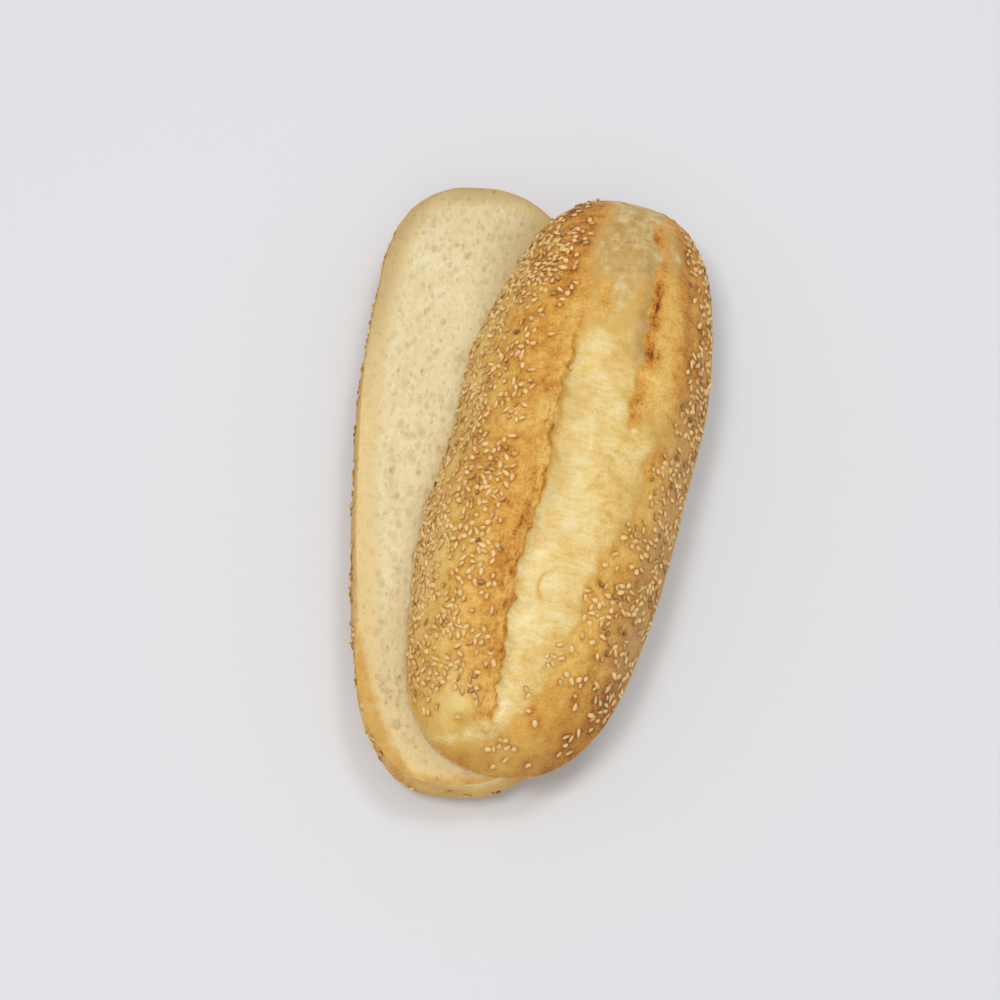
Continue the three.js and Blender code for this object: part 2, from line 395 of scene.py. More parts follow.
def crustFinish():
    finish = Finish("golden_crust")
    place = finish.place()
    grain = finish.cloud(place, 0.9, 2)
    mottle = finish.cloud(place, 5)
    patch = finish.cloud(place, 20)
    fibre = finish.cloud(finish.stretch(place, (1.5, 0.5, 1.5)), 1.6, 4, 0.65)  # short fibres along the roll
    web = finish.cloud(place, 3.2, 4, 0.7)
    ear, far = finish.mask("ear"), finish.mask("far")
    shading = (mottle * 0.65 + patch * 0.5 + grain * 0.75 + web * 0.6) * (1 - finish.mask("smooth") * 0.5)
    # dark specks on the flanks: painted shade between the seeds, partly toasted bits
    specks = finish.bubbles(finish.warp(place, 1.5, 0.8), 1.5, 0.35) * finish.mask("olive") * 0.4
    toast = finish.mask("toast") + shading + specks
    drawn = finish.cloud(finish.stretch(place, (1.2, 0.25, 1.2)), 2.6)  # pulled along the roll
    toast = toast + ear * (drawn * 1.2 + fibre * 0.7 + web * 0.3)
    # browner round each seed: partly browning, partly painted shadow of the seed
    baked = finish.ramp(toast + finish.mask("halo") * 0.29, *crustTints["stops"])
    amber = finish.between(finish.cloud(place, 10) + finish.mask("amber"), -0.05, 0.25)
    baked = finish.mix(amber * 0.7, baked, crustTints["amber"], "MULTIPLY")
    # painted light: paler where light thrown up from the floor would fall, and a pale tint up the bottom
    # half's side
    baked = finish.mix(finish.mask("dust") * (0.5 + mottle), baked, crustTints["dust"])
    baked = finish.mix(finish.mask("olive") * (0.5 + mottle), baked, crustTints["olive"])
    streak = finish.cloud(finish.stretch(place, (0.4, 1.3, 1)), 1.8)  # torn across the slash
    # dough that burst open: torn in the near part, pulled smooth in the far part
    torn = 0.1 + (finish.mask("burst") - finish.mask("fade")) * 0.5 + mottle * 0.6 + patch * 0.8 + grain * 0.4
    torn = finish.ramp(torn + web * 0.35 + streak * (1 - far) * 0.6, *crustTints["burst"])
    pulled = 0.46 + finish.mask("farTip") * 0.3 + mottle * 1.0 + patch * 0.9 + grain * 0.6
    pulled = finish.ramp(pulled + drawn * 0.8 + web * 0.4, *crustTints["farBurst"])
    pale = finish.mix(far, torn, pulled)
    # grey painted shade in the hollows by the crack and on the burst beside the ear
    pale = finish.mix(finish.mask("ashen") * (0.9 + web * 1.5), pale, crustTints["ashen"])
    edge = finish.between(finish.mask("burst") + mottle * 0.6 + grain * 0.4, 0.1, 0.9)
    finish.wear(Base_Color=finish.mix(edge, baked, pale), Roughness=0.6 + edge * 0.2 + grain * 0.2,
                Specular_IOR_Level=0.3)
    relief = grain * 0.7 + web * 0.5 + ear * (fibre + drawn * 0.6 + web * 0.5)
    finish.relief(relief + edge * (streak * 0.6 + web * 0.5 + grain * 0.3), 0.45)
    return finish.material


crumbTints = {
    "stops": ((0.0, tint(192, 168, 116)), (0.4, tint(228, 208, 160)), (0.75, tint(242, 226, 182)),
              (1.0, tint(252, 242, 214))),
    "rim": ((0.0, tint(200, 146, 68)), (0.5, tint(214, 166, 88)), (1.0, tint(230, 192, 120))),
    "peach": tint(234, 205, 146),
    "nearEnd": tint(222, 188, 126),
    "pore": tint(186, 156, 106),
    "shade": tint(182, 157, 108),
}


def crumbFinish():
    finish = Finish("soft_crumb")
    place = finish.place()
    drawn = finish.warp(finish.stretch(place, (1, 0.6, 1)), 1.6, 0.9)  # the crumb is pulled along the roll
    grain = finish.cloud(place, 0.7, 2)
    mottle = finish.cloud(drawn, 1.8, 4, 0.6)
    patch = finish.cloud(place, 18)
    small, large = finish.bubbles(drawn, 1.5, 0.45), finish.bubbles(drawn, 3.1, 0.7)
    soft = finish.ramp(0.56 + grain * 0.5 + mottle * 1.0 + patch * 0.5, *crumbTints["stops"])
    near = finish.mask("nearEnd")
    soft = finish.mix(near * 0.45, soft, crumbTints["nearEnd"])
    specks = small * (0.22 + near * 0.35) + finish.bubbles(place, 1.0, 0.4) * near * 0.6
    # painted shade: pores, the crease and the crumb's cells are painted darker in their hollows
    holes = finish.mix(finish.mask("pore") * 0.35 + specks + large * 0.3, soft, crumbTints["pore"])
    peach = finish.between(finish.mask("peach") + mottle * 0.4 + patch * 0.6, 0, 1)
    rim = finish.between(finish.mask("rim") + mottle * 0.4 + patch * 0.4, 0.1, 1)
    golden = finish.ramp(0.5 + finish.cloud(place, 4) * 1.2 + grain * 0.7, *crumbTints["rim"])
    edged = finish.mix(rim * 0.95, finish.mix(peach * 0.9, holes, crumbTints["peach"]), golden)
    # painted shade
    edged = finish.mix(finish.mask("shade"), edged, crumbTints["shade"])
    finish.wear(Base_Color=edged, Roughness=0.9, Specular_IOR_Level=0.15)
    finish.relief(grain * 0.5 + mottle * 1.2 - small * 0.5 - large * 0.7, 0.5)
    return finish.material


seedTints = {
    "stops": ((0.0, tint(242, 206, 138)), (0.4, tint(228, 184, 110)), (0.7, tint(200, 146, 74)),
              (0.88, tint(146, 98, 44)), (1.0, tint(74, 46, 20))),
    "edge": tint(158, 114, 54),
}


def seedFinish():
    finish = Finish("toasted_seed")
    grain = finish.cloud(finish.place(), 0.5, 2)
    side = finish.mask("edge")
    # lighter on top and darker to the rim: partly a toasted edge, partly painted shade and highlight
    body = finish.ramp(finish.mask("tone") + side * 0.3 - 0.08 + grain * 0.25, *seedTints["stops"])
    edge = finish.between(side + grain * 0.2, 0.2, 0.85)
    finish.wear(Base_Color=finish.mix(edge * 0.7, body, seedTints["edge"]), Roughness=0.45 + grain * 0.1)
    finish.relief(grain, 0.05)
    return finish.material


crust, crumb, seed = crustFinish(), crumbFinish(), seedFinish()
print("finishes ready")


# Cut faces

crumbFace = {
    "dip": 0.285, "dipWaves": ((0.175, (9, 14, 9), 1), (0.11, 2.4, 2)),  # mm that the soft face dips
    "poreSpacing": 3.6, "poreChance": 0.4, "poreClear": 0.15, "poreDepth": 0.55,
    "poreRadii": (0.5, 1.5), "poreSkew": 2.5,  # most are small
    "poreLength": 1.5,  # along the roll, against its width
    "poreBend": 0.8, "poreBendSize": 1.7, "poreBendDraws": (3, 4, 5),
    "edgeFall": 0.7, "edgeRound": 2.2, "edgeClear": (0, 1.5),  # the cut edge is worn round
    "leastInset": 0.01, "cornerPower": 3,
    "worn": ((1.1, 9, 6), (0.6, 3, 7)), "rimStart": 1, "rimWidth": 2.8,
}
# x and y are mm from the middle of the face, worn is mm in from its edge
crumbMarks = {
    "golden": fading(0, (1.4, ("y", -45, -95)), (2.1, ("y", -45, -95), ("x", -8, -30))),  # mm of rim
    "rimAlong": fading(0.4, (0.6, ("y", -30, -60))),
    "nearEnd": fading(0, (1, ("y", -20, -100))),
    "peach": fading(0, (1, ("worn", 12, 3))),
    # painted shade on the crumb by its far rim and far end
    "shade": fading(0, (0.65, ("worn", 10, 0.5), ("y", 10, 80)), (0.12, ("y", 80, 105))),
}


def pores(points, draw):
    # depth from 0 to 1 of round holes, at most one in each square of the crumb
    side = 256
    rng = np.random.default_rng(draw)
    clear, spacing, (small, large) = (crumbFace[key] for key in ("poreClear", "poreSpacing", "poreRadii"))
    middle = rng.uniform(clear, 1 - clear, (side, side, 2))
    radius = small + (large - small) * rng.random((side, side)) ** crumbFace["poreSkew"]
    there = rng.random((side, side)) < crumbFace["poreChance"]
    cell = np.floor(points[..., :2] / spacing).astype(int)
    depth = np.zeros(points.shape[:-1])
    for step in itertools.product((-1, 0, 1), repeat=2):
        near = cell + step
        i, j = np.moveaxis(near % side, -1, 0)
        gap = np.linalg.norm(points[..., :2] - (near + middle[i, j]) * spacing, axis=-1)
        hole = np.clip(1 - (gap / radius[i, j]) ** 2, 0, 1)
        depth = np.maximum(depth, np.where(there[i, j], hole, 0))
    return depth


def cutFace(ring, columns, draw):
    # the crumb between the left and right edge of each row; dips go into the bread
    left, right = ring[:, 0], ring[:, -1]
    shares = np.linspace(0, 1, columns + 1)[None, :, None]
    face = left[:, None] * (1 - shares) + right[:, None] * shares
    span = np.linalg.norm(right - left, axis=-1)[:, None]
    sides = np.minimum(shares[..., 0], 1 - shares[..., 0]) * span
    ends = np.minimum(np.abs(face[..., 1] - face[0, 0, 1]), np.abs(face[..., 1] - face[-1, 0, 1]))
    corner = crumbFace["cornerPower"]  # insets are rounded at the corners
    gaps = (np.maximum(gap, crumbFace["leastInset"]) for gap in (sides, ends))
    inset = sum(gap ** -corner for gap in gaps) ** (-1 / corner)
    inside = ease(inset, *crumbFace["edgeClear"])
    bends = [lumps(face, crumbFace["poreBendSize"], draw + turn) for turn in crumbFace["poreBendDraws"]]
    bent = (face + crumbFace["poreBend"] * np.stack(bends, axis=-1)) / (1, crumbFace["poreLength"], 1)
    holes = pores(bent, draw)
    dip = crumbFace["dip"] + uneven(face, crumbFace["dipWaves"], draw) + crumbFace["poreDepth"] * holes
    dip = dip * inside + crumbFace["edgeFall"] * np.clip(1 - inset / crumbFace["edgeRound"], 0, 1) ** 2
    worn = inset + uneven(face, crumbFace["worn"], draw)
    at = {"x": face[..., 0], "y": face[..., 1], "worn": worn}
    masks = {key: painted(at, crumbMarks[key]) for key in ("nearEnd", "peach", "shade")}
    golden = painted(at, crumbMarks["golden"])
    rim = ease(worn, 2 * golden + crumbFace["rimWidth"], golden - crumbFace["rimStart"])
    return face, dip, masks | {"rim": rim * painted(at, crumbMarks["rimAlong"]), "pore": holes * inside}


# Top half

# The slash along its top: an ear on the left, the dough that burst open, a crack on the right.
# Ragged edges are mm, mm apart and a random draw, and change along the roll, hardly across it.
slash = {
    "earX": -6, "earSlant": -2.4, "earWobble": (1.2, 10.5, -0.19), "earWobbleFade": (0.3, 0),
    "earAlong": (("s", -0.93, -0.84), ("s", 0.55, 0.15)),
    "earRise": 1.8, "earReach": 5, "earRun": 6, "earSag": 2.2,
    "earRagged": ((0.4, (90, 10.3, 1), 11), (0.7, (90, 5.1, 1), 11), (0.6, (90, 2.7, 1), 11),
                  (0.5, (90, 1.5, 1), 11)),
    "earRaggedFade": (0.5, 0.2), "earCalm": {"start": 1, "lines": (("s", -0.46, 0.045, -0.9),)},
    "hooks": {"lines": (("s", -0.515, 0.014, 1.8), ("s", -0.82, 0.04, 1.6))},  # mm that the ear hangs over
    # the strip left of the ear ends bluntly by the near end
    "stripEnd": -0.852, "stripStep": 0.9,
    "stripZone": (("pastEnd", -1.5, 1), ("pastEnd", 9, 2), ("x", 4, -2), ("x", -24, -12)),
    "burstWidth": 42, "burstMiddle": 0.35, "burstNearSpan": 1.3, "burstFarSpan": 0.975,
    "burstDepth": 3, "floorStart": 2, "leastSpan": 3,
    "crackX": 20.3, "crackSlant": -10, "crackDepth": 2.6, "crackRun": 7, "crackStep": 1.5,
    "crackRagged": ((1.6, (90, 13, 1), 14), (0.8, (90, 4.3, 1), 15)),
    "crackPatches": {"lines": (("s", 0.54, 0.09, 1.2), ("s", 0.36, 0.07, 1), ("s", 0.19, 0.065, 0.8),
                               ("s", 0.76, 0.05, 0.6))},
    "crackUneven": ((0.7, (90, 5, 1), 16),), "crackLeast": 0.45,
    "crackAlong": (("s", 0, 0.2), ("s", 0.76, 0.6)),
    "reliefFade": 0.5,  # share of the crown's rise
}
blister = {"s": -0.45, "x": 6, "radius": 3.4, "long": 1.5}  # a raised bubble in the burst
crustRelief = {
    "all": ((0.45, 20, 1), (0.25, 8, 2), (0.12, 3, 3), (0.05, 1.5, 4)),
    "ear": ((0.4, 3.4, 5), (0.25, (1.2, 2.4, 1.2), 6), (0.1, 0.9, 9)),
    "burst": ((0.6, 7, 7), (0.35, (6, 2, 6), 8)),
    "blister": {"zones": ((0.5, ("blister", 0.5, -2)),), "lines": (("blister", 0, 0.7, -0.25),)},
    "edge": ((0.5, 4, 10),), "insideFade": (0, 0.03), "edgeFade": (0.05, 0),
}


def earLine(s):
    wobble = edgeWave(slash["earWobble"], s) * ease(s, *slash["earWobbleFade"])
    return slash["earX"] + slash["earSlant"] * s + wobble


def burstSpan(s):
    reach = np.where(s < slash["burstMiddle"], slash["burstNearSpan"], slash["burstFarSpan"])
    away = np.minimum(1, np.abs(s - slash["burstMiddle"]) / reach)
    return slash["burstWidth"] * np.cos(away * math.pi / 2)


def slashPlaces(form, s, across):
    # coordinates of the crust, such as mm past the ear, the crack and the burst's right edge
    x, y = halfWidth(form, s) * across, form["length"] / 2 * s
    flat = np.stack(np.broadcast_arrays(x, y, 0.0), axis=-1)
    at = {"s": s, "x": x, "across": across, "aside": np.abs(across), "flat": flat}
    ragged = uneven(flat, slash["earRagged"]) * painted(at, slash["earCalm"])
    at["past"] = x - earLine(s) - painted(at, slash["hooks"]) - ragged * ease(s, *slash["earRaggedFade"])
    at["earFade"] = zone(at, slash["earAlong"])
    at["pastEnd"] = (slash["stripEnd"] - s) * form["length"] / 2
    at["span"] = burstSpan(s)
    at["right"] = at["past"] - at["span"]
    at["spanShare"] = at["past"] / np.maximum(at["span"], 1)
    at["pastCrack"] = x - slash["crackX"] - slash["crackSlant"] * s ** 2 - uneven(flat, slash["crackRagged"])
    patches = painted(at, slash["crackPatches"]) * (1 + uneven(flat, slash["crackUneven"]))
    at["crackShare"] = np.clip(patches, slash["crackLeast"] * zone(at, slash["crackAlong"]), 1)
    middle = (blister["x"], blister["s"] * form["length"] / 2)
    gap = np.linalg.norm((flat[..., :2] - middle) / (1, blister["long"]), axis=-1)
    at["blister"] = gap - blister["radius"]
    return at


def slashRelief(at):
    past, pastCrack, fade = at["past"], at["pastCrack"], at["earFade"]
    lip = slash["earRise"] * fade * hill(past, slash["earReach"])
    drop = 1 - (1 - np.clip(past / slash["earRun"], 0, 1)) ** slash["earSag"]  # steep, then flatter
    span = np.maximum(at["span"], slash["leastSpan"])
    floor = slash["burstDepth"] * fade * ease(past, span, slash["floorStart"])
    # the crack falls slowly from the left and has a steep wall on its right
    groove = ease(pastCrack, -slash["crackRun"], 0) * ease(pastCrack, slash["crackStep"], 0)
    crack = slash["crackDepth"] * at["crackShare"] * groove
    inside = slash["earRise"] * fade * (1 - drop) - floor * drop - crack
    return np.where(past <= 0, lip, inside) - slash["stripStep"] * zone(at, slash["stripZone"])


def crustColumns(form):
    # columns even along the arch, and closer together by the ear
    samples = 4001
    share = np.linspace(-1, 1, samples)
    edge = levelAcross(np.array(0.0), loaf["cut"])
    x = form["width"] / 2 * share * edge
    z = (loaf["crown"] - loaf["widest"]) * rounded(share * edge, "arch")
    closer = 1 + form["earCrowding"] * hill(x[1:] - slash["earX"], form["earCrowdingReach"])
    run = np.concatenate(([0], np.cumsum(np.hypot(np.diff(x), np.diff(z)) * closer)))
    return np.interp(np.linspace(0, run[-1], form["crustColumns"] + 1), run, share)[None, :]


def topCrust(form):
    s = rowShares() * levelReach(loaf["cut"])
    across = levelAcross(s, loaf["cut"]) * crustColumns(form)
    at = slashPlaces(form, s, across)
    rise = rounded(s, "end") * rounded(across, "arch")
    z = loaf["widest"] + (loaf["crown"] - loaf["widest"]) * rise * swelling(form, s, across)
    z += slashRelief(at) * ease(rise, 0, slash["reliefFade"])
    lowest = loaf["cut"] + crumbFace["edgeFall"]
    grid = placed(form, s, across, np.maximum(z, lowest))
    grid[:, [0, -1], 2] = lowest
    masks = crustMasks(at)
    inside = np.minimum(1 - np.abs(crustColumns(form)), 1 - np.abs(rowShares()))
    height = uneven(grid, crustRelief["all"]) + masks["ear"] * uneven(grid, crustRelief["ear"])
    height += masks["burst"] * uneven(grid, crustRelief["burst"]) + painted(at, crustRelief["blister"])
    height = height * ease(inside, *crustRelief["insideFade"])
    height += uneven(grid, crustRelief["edge"]) * ease(inside, *crustRelief["edgeFade"])
    return at, grid + normalsOf(grid) * height[..., None], masks


# How much the marks of the slash count in each mask
slashShares = {
    "toast": {"ear": -0.05, "nearEar": 0.19, "earShadowLine": 0.15, "crack": 0.27, "crackSeam": 0.16,
              "goldenBurst": -0.2, "sweep": -0.17},
    "burst": {"ear": -0.7, "earShadowLine": -0.7, "crack": -1.5, "crackSeam": -1},
    "amber": {"ear": 0.1, "nearEar": 0.12, "crack": 0.4},
}
# What is painted on the crust. margin is mm past the pale dough's uneven right edge.
crustMarks = {
    "toast": {
        "start": 0.45,
        "zones": (
            (0.1, ("across", 0.7, 0.95)), (0.1, ("across", 0.45, 0.65), ("s", 0.66, 0.8)),  # right flank
            (0.08, ("across", 0.4, 0.8), ("s", -0.45, -0.7)), (0.06, ("right", 6, 16)),
            (-0.12, ("past", -4, -14), ("s", 0, -0.4)), (-0.3, ("across", -0.6, -0.9)),  # left flank
            (0.24, ("across", -0.6, -0.9), ("s", -0.5, -0.7)),
            (0.14, ("across", -0.75, -0.95), ("s", -0.5, -0.7)),
            (0.2, ("s", -0.88, -0.97)), (0.14, ("s", -0.86, -0.93), ("across", -0.45, -0.85)),  # near end
            (-0.14, ("s", -0.66, -0.8), ("aside", 0.9, 0.5)),
            (0.12, ("s", -0.66, -0.8), ("x", 2, 12)), (-0.096, ("s", -0.9, -0.97), ("x", 2, 12)),
        ),
        "lines": (
            ("margin", 1.5, 2, 0.03, ("s", 0.1, -0.2)),  # right edge of the burst
            ("margin", 4, 4, -0.2, ("s", 0.1, -0.2), ("s", -0.75, -0.6)),
            ("right", -3, 3, 0.24, ("s", 0.1, 0.3)), ("right", -3, 3, -0.12, ("s", 0.6, 0.8)),
            ("past", -8, 4, 0.104), ("pastEnd", 0.3, 1.8, 0.1, ("x", -16, -6), ("past", 2, -1)),  # left strip
        ),
        "spots": (
            (-0.81, -11, 0.05, 6, -0.3), (0.055, -17, 0.05, 6, -0.28), (-0.59, -19, 0.05, 5, -0.14),
            (-0.37, -9.8, 0.06, 3, 0.14), (-0.2, -13.5, 0.05, 3, 0.06), (0.21, 23.2, 0.04, 4, 0.16),
            (-0.01, -41, 0.05, 4, 0.14), (-0.81, 18, 0.07, 6, 0.09), (-0.45, 36.5, 0.06, 5, 0.12),
            (0.173, 29.3, 0.05, 4, -0.22), (0.75, 26, 0.05, 4, 0.13), (-0.2, 34, 0.05, 4, 0.16),
            (0.45, 25, 0.04, 3, 0.1), (-0.54, -11.5, 0.04, 3, -0.12), (-0.11, -18.6, 0.05, 4, -0.1),
            (0.46, 0.6, 0.055, 2.4, 0.16),
        ),
        "patchy": (
            ((8, 20, 1), 28, {"lines": (("past", -8, 4, 0.091),)}),
            ((4, 3, 1), 26, fading(0, (0.16, ("s", -0.86, -0.95)))),
            ((7, 11, 1), 27, {"lines": (("right", 2, 7, 0.18), ("right", 2, 7, -0.108, ("s", 0, -0.25)))}),
        ),
    },
    "burst": {
        # the first spot is painted light: the dough by the blunt end of the left strip is paler where its
        # slope turns from the lamps
        "spots": ((-0.875, -3, 0.03, 6, 0.35), (0.46, 0.6, 0.055, 2.4, -0.9), (0.44, -4, 0.1, 5, -0.3)),
        "lines": (("blister", 0, 0.7, -0.6, ("x", 7.5, 3.5)),),
    },
    "amber": {
        "zones": ((0.3, ("past", -2, -6), ("past", -24, -14), ("s", -0.75, -0.6)),),
        "lines": (("right", 1, 8, 0.55), ("pastCrack", 8, 5, 0.3, ("s", 0.2, 0.35))),
    },
    "fade": {  # yellower to the right, and in folds
        "zones": ((0.1, ("s", -0.25, 0)), (0.45, ("spanShare", 0.3, 1)),
                  (-0.225, ("spanShare", 0.3, 1), ("s", 0.15, 0.55)),
                  (-0.1125, ("spanShare", 0.3, 1), ("s", -0.4, -0.65))),
        "spots": ((0.28, -0.7, 0.06, 4, 0.32), (-0.02, 10.5, 0.05, 5, 0.32), (-0.095, 17.4, 0.05, 5, 0.32),
                  (0.05, -3.2, 0.05, 4, 0.32), (0.335, 9, 0.05, 5, 0.32)),
    },
    # painted light: the right flank is paler, as if lit by light thrown up from the floor
    "dust": fading(0, (0.75, ("across", 0.62, 0.85), ("s", 0.5, 0.1), ("s", -0.8, -0.5))),
    "olive": {"zones": ((0.8, ("across", -0.62, -0.9)), (-0.56, ("across", -0.62, -0.9), ("s", -0.4, -0.7)),
                        (0.5, ("s", -0.84, -0.94)))},
}
# Far left end, where the crust is closed
farLeftToast = {"zones": ((0.2, ("s", 0.45, 0.85), ("x", 0, -8)),
                          (0.2, ("s", 0.45, 0.85), ("x", 0, -8), ("across", -0.5, -0.8)))}
# Hollows left of the crack, and the painted shade there (a deeper tone and grey) and the grey painted shade
# on the burst by the ear
hollows = {
    "along": {"lines": (("s", 0.47, 0.06, 1), ("s", 0.36, 0.05, 1), ("s", 0.66, 0.05, 1))},
    "fade": {"lines": (("pastCrack", -4, 4, 0.4),)}, "ashen": {"lines": (("pastCrack", -3.4, 2.8, 0.75),)},
    "earGreyShade": {"lines": (("past", 5, 6, 0.25, ("s", -0.7, -0.3)),)}, "earUneven": 0.8, "earMost": 1.5,
}
burstShares = {"crackEar": 0.8, "golden": 0.95, "sweep": 0.72}
# Parts along the roll: sway of their edges, and s
crustParts = {"far": (0.1, 0.15, 0.85), "farTip": (0.04, 0.76, 0.94), "smooth": (-0.05, -0.68, -0.85)}


def openedShare(at, wander):
    # where the pale dough shows
    s = at["s"]
    near, far, soft = ease(s, 0.1, -0.2), ease(s, 0.15, 0.55), ease(s, -0.5, 0)
    bulge = near * (6 * ease(s, -0.34, -0.6) - 3.6 * ease(s, -0.74, -0.84) - 0.4)
    at["margin"] = at["right"] - bulge + (2.5 - 1.4 * near) * wander
    rightEdge = ease(at["margin"], 2 - 0.75 * soft + near, -4 - 3 * soft + 1.4 * near)
    blur = 1.2 + 11 * far  # the ear's edge melts away to the far end
    leftEdge = ease(at["past"] + 3 * far * wander, -0.6 * blur, 0.7 * blur)
    islands = np.clip(1.5 * lumps(at["flat"], (6, 16, 1), 24) - 0.2, 0, 1)  # of crust, in the far part
    return leftEdge * rightEdge * ease(s, -0.99, -0.87) * (1 - 0.6 * far * islands)


def slashMarks(at, wander):
    s, x, past, pastCrack, share = (at[key] for key in ("s", "x", "past", "pastCrack", "crackShare"))
    along = at["earFade"] * ease(s, -0.868, -0.838)
    nearHalf = ease(s, 0, -0.25)
    band = ease(past + 0.9 * wander, -5.8, -3.2) * ease(past, 1.2, 0)
    ear = hill(past + 0.6, 3 + 0.8 * wander) * (1 - nearHalf) + band * nearHalf
    ear = along * ear * (1 - 0.5 * ease(s, 0.1, 0.3))
    earShadowLine = along * hill(past - 0.5, 0.9) * np.clip(0.7 + 0.6 * wander, 0, 1)  # painted shadow line under the ear
    crack = share * np.minimum(1.1 + 0.7 * lumps(at["flat"], (3, 5, 1), 25), 1.4) * hill(pastCrack - 0.7, 3.1)
    melt = 1 + 4 * ease(s, 0.55, 0.8)
    golden = ease(pastCrack + wander, -1.5 * melt, 2.5 * melt)  # right of the crack
    golden = golden * ease(s, 0.05, 0.26) * (1 - 0.85 * ease(s, 0.56, 0.74))
    # past the blunt end of the left strip the pale dough sweeps to the left
    fold = s - slash["stripEnd"] + 0.06 - 0.00025 * (x + 16) ** 2 + 0.008 * wander
    sweep = hill(fold, np.clip(0.044 + 0.0013 * x, 0.018, 0.06)) * ease(x, -38, -12) * ease(x, 14, 2)
    return {"ear": ear, "nearEar": nearHalf * ear, "earShadowLine": earShadowLine, "crack": crack, "sweep": sweep,
            "crackSeam": share * hill(pastCrack + 0.2, 1.5),
            "golden": golden, "goldenBurst": golden * ease(at["right"], 0, -8)}


def crustMasks(at):
    wander = lumps(at["flat"], 17, 22) + 0.5 * lumps(at["flat"], 7, 23)  # uneven edges
    opened = openedShare(at, wander)
    marks = slashMarks(at, wander)
    masks = {key: painted(at, paint) for key, paint in crustMarks.items()}
    for key, shares in slashShares.items():
        masks[key] = masks[key] + sum(share * marks[name] for name, share in shares.items())
    masks["toast"] = masks["toast"] + (1 - opened) * painted(at, farLeftToast)
    pale = opened * (1 - burstShares["golden"] * marks["golden"])
    masks["burst"] = masks["burst"] + np.maximum(pale, burstShares["sweep"] * marks["sweep"])
    masks["ear"] = np.maximum(marks["ear"], burstShares["crackEar"] * marks["crack"])
    # painted shade in the hollows left of the crack and beside the ear's lip
    shades = painted(at, hollows["along"])
    masks["fade"] = masks["fade"] + shades * painted(at, hollows["fade"])
    earGreyShade = at["earFade"] * np.clip(hollows["earUneven"] + wander, 0, hollows["earMost"])
    masks["ashen"] = shades * painted(at, hollows["ashen"]) + earGreyShade * painted(at, hollows["earGreyShade"])
    for key, (sway, low, high) in crustParts.items():
        masks[key] = ease(at["s"] + sway * wander, low, high)
    return {key: np.clip(values, 0, 1) for key, values in masks.items()}


# Seeds for each cm2 of crust; the parts of a side are multiplied
topSeeding = {
    "bare": fading(0, (6, ("s", -0.5, -0.3), ("s", 0.5, 0.3))),  # mm of lip without seeds
    "left": (
        fading(0, (2.8, ("pastLip", -3, -6)), (2.8, ("past", -10, -18)), (4.4, ("past", -20, -34))),
        fading(1, (0.7, ("s", 0, -0.4)), (1.5, ("s", 0.45, 0.7))),
        fading(0.08, (0.92, ("s", -0.88, -0.74))),
        fading(1, (-0.5, ("s", -0.45, -0.65), ("z", 40, 30))),
    ),
    "right": (
        fading(0, (2.6, ("right", -2, 2)), (3.2, ("right", 2, 9))),
        fading(0.12, (0.88, ("s", -0.85, -0.45))),
        {"start": 1, "zones": ((0.8, ("s", 0.1, 0.4)),), "lines": (("s", 0.05, 0.2, 0.7),)},
        fading(1, (0.8, ("z", 44, 30))),
    ),
    "stray": 0.015, "edgeClear": (1, 3), "draw": 7, "faceDraw": 50,
}


def topSeedDensity(at, dome):
    at = at | {"z": dome[..., 2], "pastLip": at["past"] + painted(at, topSeeding["bare"])}
    sides = sum(math.prod(painted(at, part) for part in topSeeding[side]) for side in ("left", "right"))
    return (topSeeding["stray"] + sides) * ease(dome[..., 2] - loaf["cut"], *topSeeding["edgeClear"])


def topHalfPieces(form):
    at, dome, masks = topCrust(form)
    rows, columns = dome.shape[:2]
    ring = dome[:, [0, -1]]
    face, dip, faceMasks = cutFace(ring, form["crumbColumns"], topSeeding["faceDraw"])
    face[..., 2] = loaf["cut"] + dip
    seeds = scatterSeeds(dome, topSeedDensity(at, dome), topSeeding["draw"])
    masks["halo"] = nearness(dome, seeds["spots"], seedShape["halo"])
    index = closedIndex(rows, columns)
    under = sheetIndex(index[:, 0], index[:, -1], face.shape[1], index.size)
    points = np.concatenate((dome.reshape(-1, 3), face.reshape(-1, 3)))
    every = spread(masks, len(points), 0) | spread(faceMasks, len(points), index.size, ("rim", "peach"))
    every["place"] = points.copy()
    toTable = settling(form, points)
    bread = breadPiece("top_bread", toTable(points), trianglesOf(index), trianglesOf(under[:, ::-1]), every)
    return bread, seedsPiece("top_seeds", seeds, toTable), toTable(ring.reshape(-1, 3))


# Bottom half

wall = {
    "relief": ((0.4, 18, 31), (0.25, 7, 32), (0.12, 3, 33)), "reliefFade": (0, 2),  # levels in from its edges
    "tuck": fading(0, (0.72, ("y", -45, -100)), (1.08, ("y", -45, -100), ("x", 0, -25))),  # mm in, near end
    "seeds": {"zones": ((0.75, ("z", 4, 9), ("z", 22.5, 19.5)),
                        (2.25, ("z", 4, 9), ("z", 22.5, 19.5), ("ends", 0.97, 0.75)))},  # for each cm2
    "draw": 17, "faceDraw": 40,
}
contact = {"far": (50, 105), "reach": 5.5, "reachFar": 7.15, "shade": 0.32, "shadeFar": 0.46}
crease = {"x": -26.5, "y": -4, "half": 7, "bend": 1.6, "depth": 0.8, "width": 0.7, "fade": 0.9}


def places(form, points):
    s = points[..., 1] / (form["length"] / 2)
    return {"x": points[..., 0], "y": points[..., 1], "z": points[..., 2], "s": s, "ends": np.abs(s)}


